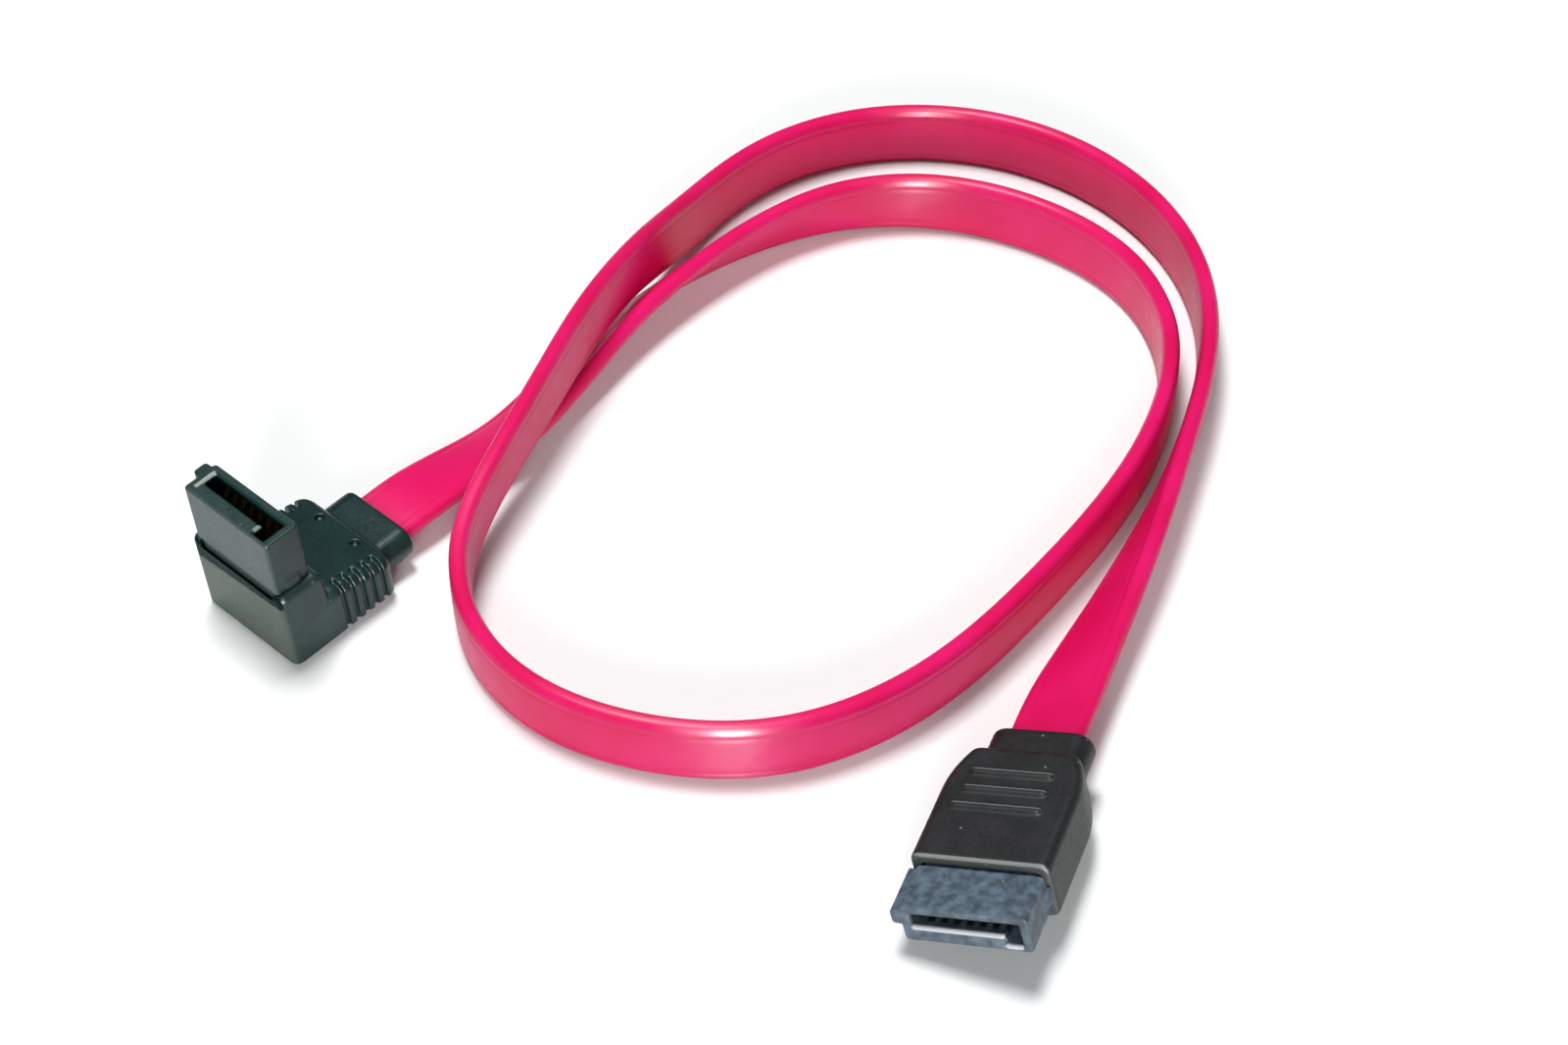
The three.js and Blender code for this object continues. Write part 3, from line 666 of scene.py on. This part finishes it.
def angled_back():
    """The sloping back: hooded outlines that draw in to the rear over two quarter circles, a
    wide one in plan and a smaller one in height."""
    plan_round = 1.7
    height_round = 1.2
    foot_share = 0.25
    front = 1.0
    slope_lead = 1
    slope_steps = 5
    round_steps = 12
    round_start = angled_depth - plan_round
    run = np.concatenate([
        [front, slope_start],
        np.linspace(slope_start + slope_lead, round_start, slope_steps)[:-1],
        angled_depth - plan_round * np.cos(np.linspace(0, math.pi / 2, round_steps))])
    sections = []
    for y in run:
        inside = max(0.0, y - round_start)
        narrow = plan_round - math.sqrt(plan_round ** 2 - min(inside, plan_round) ** 2)
        inside = max(0.0, y - (angled_depth - height_round))
        fall = height_round - math.sqrt(height_round ** 2 - min(inside, height_round) ** 2)
        top = slope_height(y) - fall
        sections.append((y, hooded_ring(
            angled_half_width - narrow, foot_share * fall, top, side_round, foot_round)))
    return loft("angled_overmould", 1, sections)


def angled_front():
    """The block round the insert's seat: upright, with a rear face that leans back below the
    top. Its outline draws in over a quarter circle at the top and a little at the foot."""
    top_round = 0.75
    corner = 0.8
    narrower = 0.05
    spread = 0.12
    sections = []
    for z, inset in end_rounds(0, angled_front_height, foot_round, top_round):
        lean = np.clip((angled_front_height - z)
                       / (angled_front_height - angled_step_height), 0, 1)
        rear = slope_start - step_run * (1 - lean)
        wider = spread * z / angled_front_height
        ring = rounded_ring(angled_half_width - narrower + wider / 2 - inset, rear / 2 - inset,
                            max(corner - inset, least_corner))
        sections.append((z, ring + [0, rear / 2]))
    return loft("front", 2, sections)


def grip_grooves():
    """Cutters for the grooves, a slice each: outside a line that follows the side at the
    groove's depth, goes round the top edge and runs out on the back."""
    count = 5
    pitch = 1.27
    width = 0.55
    depth = 0.5
    last = 1.9
    reach = 1.9
    drop = 0.34
    run_out = 0.08
    bend_steps = 9
    looser = 0.1
    inner = side_round + looser
    side = angled_half_width - depth
    outside = angled_half_width + reach_past
    grooves = []
    for i in range(count):
        y = angled_depth - last - i * pitch
        top = slope_height(y)
        turn = np.linspace(0, math.pi / 2, bend_steps)
        bend = np.column_stack([side - inner + inner * np.cos(turn),
                                top - drop - inner + inner * np.sin(turn)])
        outline = np.vstack([[side, -reach_past], bend,
                             [angled_half_width - reach, top + run_out],
                             [angled_half_width - reach, top + reach_past],
                             [outside, top + reach_past], [outside, -reach_past]])
        for hand in ([1, 1], [-1, 1]):
            grooves.append(loft("groove", 1, [
                (y - width / 2, outline * hand), (y + width / 2, outline * hand)]))
    return grooves


def mould_marks():
    """Pits that the ejector pins leave near the back's rear edge."""
    radius = 0.5
    depth = 0.5
    floor_round = 0.1
    from_middle = 2.75
    from_rear = 1.6
    y = angled_depth - from_rear
    return [bar("pit", 2, (radius, radius, radius, x, y),
                slope_height(y) - depth, slope_height(y) + reach_past, floor_round)
            for x in (-from_middle, from_middle)]


def well():
    """The space that the insert's seat and the wires fill."""
    seat_bottom = angled_front_height - angled_seat - fit_gap
    wire_front = 3.1
    wire_rear = nose_middle + seat_half_thickness + fit_gap
    wire_floor = 1.2
    wire_roof = 3.3
    corner = 0.1
    seat_ring = (seat_half_width + fit_gap, seat_half_thickness + fit_gap, seat_space_corner,
                 0, nose_middle)
    shaft_ring = (wire_half_space, (wire_rear - wire_front) / 2, corner, 0,
                  (wire_front + wire_rear) / 2)
    tunnel_ring = (wire_half_space, (wire_roof - wire_floor) / 2, corner, 0,
                   (wire_floor + wire_roof) / 2)
    return [bar("well", 2, seat_ring, seat_bottom, angled_front_height + reach_past),
            bar("shaft", 2, shaft_ring, wire_floor, seat_bottom + join),
            bar("tunnel", 1, tunnel_ring, wire_front, angled_collar_end - jacket_in_pocket)]


def angled_tone(x, y, z):
    """Painted sheen on the front face, with a smooth band of painted shade under the insert's
    foot, which is deeper at the left, and painted shade that makes the back a little darker than
    the sides."""
    hollow_depth = 2.1
    hollow_slant = 0.08
    hollow_fade = 0.25
    front_band = 0.25
    front_fade = 0.3
    # Strengths of the painted sheen on the front face and of the painted shade on the back.
    dust_and_sheen = 0.5
    back = 0.4
    # Painted shade in a band under the insert's foot.
    hollow = past(z, angled_front_height - hollow_depth + hollow_slant * x, hollow_fade)
    front = past(-y, -front_band, front_fade)
    return front * (dust_and_sheen - (1 + dust_and_sheen) * hollow) - back * past(y, slope_start, 1)


angled_overmould = work(
    angled_back(),
    [angled_front(), collar(angled_depth, angled_collar_end, cable_height)],
    grip_grooves() + mould_marks() + well()
    + [ribbon_pocket(angled_collar_end, cable_height)],
    overmould_net, angled_softening)
shade(angled_overmould, angled_tone)
settle(angled_overmould, angled_place)
# Green-black PVC: dark and half dull, with a painted olive sheen on its front face and painted
# shade on its back.
finish_piece(
    angled_overmould,
    moulded_plastic("moulded_green_black_pvc", body="0e2b2a", paler="173534", light="566150",
                    dark="041c1b", roughness=0.42, grain_mm=0.3, blotch_mm=2.5, specks=0.2),
    "angled_moulding")

# The painted shade under the insert's foot takes a finish of its own, dark and almost without
# sheen, on the faces whose tone is darkest.
hollow_tone = -0.5
angled_overmould.data.materials.append(
    moulded_plastic("shaded_green_black_pvc", body="052423", paler="072a28", light="072a28",
                    dark="042120", roughness=0.5, grain_mm=0.3, blotch_mm=2.5, specks=0,
                    specular=0.02))
corner_points = np.zeros(len(angled_overmould.data.loops), int)
angled_overmould.data.loops.foreach_get("vertex_index", corner_points)
point_tones = np.zeros(len(angled_overmould.data.vertices))
angled_overmould.data.attributes["tone"].data.foreach_get("value", point_tones)
hollow_faces = point_tones[corner_points.reshape(-1, 4)].mean(axis=1) < hollow_tone
angled_overmould.data.polygons.foreach_set("material_index", hollow_faces.astype(int))


# Inserts: the hard nose of each connector, moulded in one with the seat that the overmould
# grips. Each has the L-shaped slot, seven channels, a key rib and a latch bump.
nose_half_width = 6.3
nose_half_thickness = 2.1
nose_corner = 0.35
slot_half_width = 5.3
slot_top = 1.2
slot_floor = -0.35
slot_depth = 5.2
leg_width = 1.6
leg_bottom = -1.55
lead_in = 0.22
contact_count = 7
contact_pitch = 1.27
nose_gap = 0.08
straight_latch = 0.4
angled_latch = 0.12


def slot_outline(grow):
    """The L across the slot, with every side moved out by the same distance."""
    step = slot_half_width - leg_width - grow
    end = slot_half_width + grow
    top = slot_top + grow
    return [(-end, top), (-end, slot_floor - grow), (step, slot_floor - grow),
            (step, leg_bottom - grow), (end, leg_bottom - grow), (end, top)]


def channel(x, end):
    """Space for one contact: open to the slot along its spring, closed behind it."""
    half_width = 0.4
    front = 0.65
    spring_room = 0.1
    top = 1.6
    step_run = 0.01
    floors = ((front, slot_top - spring_room), (slot_depth, slot_top - spring_room),
              (slot_depth + step_run, slot_top), (end + reach_past, slot_top))
    return loft("channel", 1, [
        (place, [(x - half_width, low), (x + half_width, low),
                 (x + half_width, top), (x - half_width, top)])
        for place, low in floors])


def latch(nose_end, height):
    """Wedge on the nose's right end, steep towards the overmould."""
    length = 1.6
    half_width = 0.85
    wedge = [(-join, nose_end - length), (-join, nose_end), (height, nose_end),
             (height, nose_end - length / 2), (0, nose_end - length)]
    outline = np.array(wedge) + [nose_half_width, 0]
    return loft("latch", 2, [(-half_width, outline), (half_width, outline)])


def insert(name, nose, seat, latch_height):
    """One insert in its own frame: its mouth is on y = 0 and it runs along y."""
    edge_round = 0.1
    rear_round = 0.05
    rib_half_width, rib_half_thickness, rib_middle = 0.95, 0.85, 0.75
    net = 0.1
    softening = 2
    nose_end = nose - nose_gap
    end = nose + seat
    middle_contact = contact_count // 2
    nose_ring = (nose_half_width, nose_half_thickness, nose_corner, 0, 0)
    seat_ring = (seat_half_width, seat_half_thickness, nose_corner, 0, 0)
    rib_ring = (rib_half_width, rib_half_thickness, nose_corner, -nose_half_width, rib_middle)
    flare = [(-reach_past, lead_in), (0, lead_in), (lead_in, 0), (slot_depth, 0)]
    return work(
        bar(name, 1, nose_ring, 0, nose_end, edge_round, rear_round),
        [bar("seat", 1, seat_ring, nose_end - join, end, 0, edge_round),
         bar("rib", 1, rib_ring, 0, nose_end, edge_round, rear_round),
         latch(nose_end, latch_height)],
        [loft("slot", 1, [(y, slot_outline(grow)) for y, grow in flare])]
        + [channel((i - middle_contact) * contact_pitch, end) for i in range(contact_count)],
        net, softening)


tone_fade = 0.1


def within(value, reach, fade=tone_fade):
    """1 while the value is between minus and plus the reach, and 0 outside, fading at both."""
    return past(-np.abs(value), -reach, fade)


def slot_lip(x, y, z):
    """1 on the lead-in under the slot and under its leg, at the mouth, where a painted highlight
    lies, and 0 elsewhere.
    """
    lip_depth = 0.36
    half_lip = 0.17
    over_leg = past(x, slot_half_width - leg_width, tone_fade)
    lower_edge = slot_floor + (leg_bottom - slot_floor) * over_leg
    near = 1 - past(np.abs(z - lower_edge + lead_in / 2), half_lip, tone_fade)
    return near * past(-y, -lip_depth, tone_fade) * within(x, slot_half_width, 2 * tone_fade)


def straight_tone(x, y, z):
    """Painted highlights on the lips under the slot, painted shade that makes the slot a third
    darker inside, and the full painted shadow of each contact on the slot's floor, near enough
    to the contact's middle."""
    shade_start = 0.5
    slot_shade = 0.35
    rim = 0.05
    half_contact = 0.36
    side_fade = 0.12
    contact_start = 0.95
    start_fade = 0.15
    last_contact = 4.2
    from_contact = np.abs((x / contact_pitch + 0.5) % 1 - 0.5) * contact_pitch
    under = (past(-from_contact, -half_contact, side_fade) * within(x, last_contact)
             * past(y, contact_start, start_fade))
    inside = within(z, slot_top + rim) * within(x, slot_half_width)
    shaded = slot_shade + (1 - slot_shade) * under
    # Painted highlight on the lips, less the painted shade and painted shadows inside the slot.
    return slot_lip(x, y, z) - inside * past(y, shade_start, tone_fade) * shaded


def angled_insert_tone(x, y, z):
    """Painted sheen on the front face, painted highlights on the lips at the slot's left end and
    at its step, and painted shade inside the slot.
    """
    dust_and_sheen = 0.12
    lip_depth = 0.3
    half_lip = 0.22
    half_step = 0.3
    step_highlight = 0.7
    rim = 0.1
    dark_start = 0.4
    dark_fade = 0.3
    dark_top = slot_top + 0.3
    dark_bottom = leg_bottom - 0.15
    margin = 0.2
    # Painted sheen on the front, painted highlights on the lips, painted shade inside the slot.
    front = dust_and_sheen * past(-z, nose_half_thickness - margin, margin)
    at_mouth = past(-y, -lip_depth, tone_fade) * within(z, slot_top + rim)
    left_end = 1 - past(np.abs(x + slot_half_width + lead_in / 2), half_lip, tone_fade)
    step = 1 - past(np.abs(x - slot_half_width + leg_width), half_step, tone_fade)
    step = step_highlight * step * past(-z, rim, tone_fade)
    inside = past(y, dark_start, dark_fade) * within(x, slot_half_width + margin)
    inside = inside * past(-z, -dark_top, tone_fade) * past(z, dark_bottom, tone_fade)
    return front + at_mouth * (left_end + step) - inside


straight_insert = insert("straight_insert", straight_nose, straight_seat, straight_latch)
shade(straight_insert, straight_tone)
settle(straight_insert, straight_place)
# Glass-filled slate plastic: mottled blue-grey where the fibres come up, with painted highlights
# on the slot's lips and painted shade and shadows inside the slot.
finish_piece(
    straight_insert,
    moulded_plastic("glass_filled_slate_plastic", body="333f4a", paler="586a7a", light="d2d6dc",
                    dark="10161b", roughness=0.5, grain_mm=0.25, blotch_mm=1.0, specks=0.3),
    "straight_housing")
angled_insert = insert("angled_insert", angled_nose, angled_seat, angled_latch)
shade(angled_insert, angled_insert_tone)
# Stood up: what runs along y in the insert's own frame runs downwards here.
stood_up = [[1, 0, 0], [0, 0, 1], [0, -1, 0]]
settle(angled_insert, angled_place, stood_up,
       (0, nose_middle, angled_front_height + angled_nose))
# Hard green-black plastic: glossier than the overmould below it, with painted highlights on the
# slot's lips, a little painted sheen on its front face and painted shade inside the slot.
finish_piece(
    angled_insert,
    moulded_plastic("hard_green_black_plastic", body="102b2a", paler="193534", light="8c9691",
                    dark="031210", roughness=0.36, grain_mm=0.3, blotch_mm=2.5, specks=0.15),
    "angled_housing")


# Contacts and cable ends: gold-plated strips in the channels, and behind them the foil round
# each pair, the white insulation of its two wires and the tinned drain wires.
def plain_finish(name, colour, metallic, roughness, wear_mm, strength):
    """A fine even surface with a little uneven gloss and relief."""
    uneven = 0.06
    relief_mm = 0.05
    material, tree = new_material(name)
    own = add_node(tree, "ShaderNodeTexCoord")
    wear = add_node(tree, "ShaderNodeTexNoise", {
        "Vector": own.outputs["Object"], "Scale": 1000 / wear_mm, "Detail": 3})
    gloss = add_node(tree, "ShaderNodeMapRange", {
        "Value": wear.outputs["Fac"], "From Min": 0.3, "From Max": 0.7,
        "To Min": roughness - uneven, "To Max": roughness + uneven})
    bump = add_node(tree, "ShaderNodeBump", {
        "Height": wear.outputs["Fac"], "Strength": strength, "Distance": relief_mm * mm})
    shader = add_node(tree, "ShaderNodeBsdfPrincipled", {
        "Base Color": linear(colour), "Metallic": metallic,
        "Roughness": gloss.outputs["Result"], "Normal": bump.outputs["Normal"]})
    add_node(tree, "ShaderNodeOutputMaterial", {"Surface": shader.outputs["BSDF"]})
    return material


# Worn gold over bronze is dull yellow, wrapped foil is bright and creased, the insulation is
# a plain warm white, and tinned copper is a soft grey metal.
finishes = {
    "contact": (plain_finish("gold_plated_bronze", colour="6e5a36", metallic=1, roughness=0.35,
                             wear_mm=0.4, strength=0.2), "contact"),
    "shielded_pair": (plain_finish("wrapped_aluminium_foil", colour="c9ccd0", metallic=1,
                                   roughness=0.3, wear_mm=1.2, strength=0.8), "foil"),
    "signal_wire": (plain_finish("white_insulation", colour="ece9e0", metallic=0,
                                 roughness=0.45, wear_mm=0.5, strength=0.15), "signal_wire"),
    "drain_wire": (plain_finish("tinned_copper", colour="b4b6b8", metallic=1, roughness=0.35,
                                wear_mm=0.3, strength=0.3), "drain_wire"),
}
# Every strip, foil and wire keeps its CAD solid, welded and with a narrow bevel on its edges.
weld_width = 0.001 * mm
edge_width = 0.03 * mm
for name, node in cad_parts.items():
    for word, (finish, slot) in finishes.items():
        if word in name:
            node.data.materials.clear()
            node.data.materials.append(finish)
            weld = node.modifiers.new("weld", "WELD")
            weld.merge_threshold = weld_width
            edge = node.modifiers.new("edge", "BEVEL")
            edge.width = edge_width
            edge.limit_method = "ANGLE"


# Floor and backdrop: one plain white sheet. It keeps the shadow near the cable, and farther
# off it fades to plain white for the camera. Its sizes are in metres.
reach = 3
fade_start, fade_end = 0.14, 0.4
floor_mesh = bpy.data.meshes.new("floor")
floor_mesh.from_pydata(
    [(-reach, -reach, 0), (reach, -reach, 0), (reach, reach, 0), (-reach, reach, 0)],
    [], [(0, 1, 2, 3)])
floor = bpy.data.objects.new("floor", floor_mesh)
bpy.context.scene.collection.objects.link(floor)
paper, paper_tree = new_material("white_paper")
paper_ray = add_node(paper_tree, "ShaderNodeLightPath")
paper_face = add_node(paper_tree, "ShaderNodeBsdfDiffuse", {"Color": linear("e7eaea")})
paper_lift = add_node(paper_tree, "ShaderNodeEmission", {
    "Color": linear("ffffff"), "Strength": paper_ray.outputs["Is Camera Ray"]})
paper_place = add_node(paper_tree, "ShaderNodeTexCoord")
paper_distance = add_node(paper_tree, "ShaderNodeVectorMath", {
    0: paper_place.outputs["Object"]}, operation="LENGTH")
paper_fade = add_node(paper_tree, "ShaderNodeMapRange", {
    "Value": paper_distance.outputs["Value"], "From Min": fade_start, "From Max": fade_end,
    "To Min": 0, "To Max": 1})
paper_seen = add_node(paper_tree, "ShaderNodeMixShader", {
    0: paper_fade.outputs["Result"], 1: paper_face.outputs["BSDF"],
    2: paper_lift.outputs["Emission"]})
add_node(paper_tree, "ShaderNodeOutputMaterial", {"Surface": paper_seen.outputs["Shader"]})
floor_mesh.materials.append(paper)


# Light: a dim pale room that the camera sees as white, a soft lamp high up behind on the left,
# which throws the short shadow to the lower right, and a soft lamp in front that throws none.
# Places and sizes are in metres.
room_strength = 0.12
world = bpy.data.worlds.new("room")
world.use_nodes = True
world.node_tree.nodes.clear()
room_ray = add_node(world.node_tree, "ShaderNodeLightPath")
room_light = add_node(world.node_tree, "ShaderNodeBackground", {
    "Color": linear("ffffff"), "Strength": room_strength})
room_seen = add_node(world.node_tree, "ShaderNodeBackground", {
    "Color": linear("ffffff"), "Strength": 1.0})
room = add_node(world.node_tree, "ShaderNodeMixShader", {
    0: room_ray.outputs["Is Camera Ray"], 1: room_light.outputs["Background"],
    2: room_seen.outputs["Background"]})
add_node(world.node_tree, "ShaderNodeOutputWorld", {"Surface": room.outputs["Shader"]})
bpy.context.scene.world = world


def lamp(name, place, aim, size, power):
    """Square area lamp at a place, turned to face the point it is aimed at."""
    light = bpy.data.lights.new(name, "AREA")
    light.size = size
    light.energy = power
    holder = bpy.data.objects.new(name, light)
    away = np.array(place) - np.array(aim)
    away /= np.linalg.norm(away)
    holder.location = place
    holder.rotation_euler = (math.acos(away[2]), 0, math.atan2(away[0], -away[1]))
    bpy.context.scene.collection.objects.link(holder)
    return light


cable_middle = (0.01, 0.035, 0)
lamp("high_lamp", (-0.085, 0.15, 0.77), cable_middle, size=0.24, power=6.6)
front_lamp = lamp("front_lamp", (-0.02, -0.62, 0.26), cable_middle, size=0.25, power=3.3)
front_lamp.cycles.cast_shadow = False
# Two small lamps add only gloss, most of it to the ribbon's front run.
for name, place, size, power in (
        ("flash", (0.015, -0.24, 0.27), 0.05, 1.0),
        ("low_flash", (0.035, -0.6, 0.02), 0.1, 20.0)):
    glint = lamp(name, place, cable_middle, size, power)
    glint.cycles.cast_shadow = False
    bpy.data.objects[name].visible_diffuse = False

bpy.context.scene.view_settings.view_transform = "Standard"
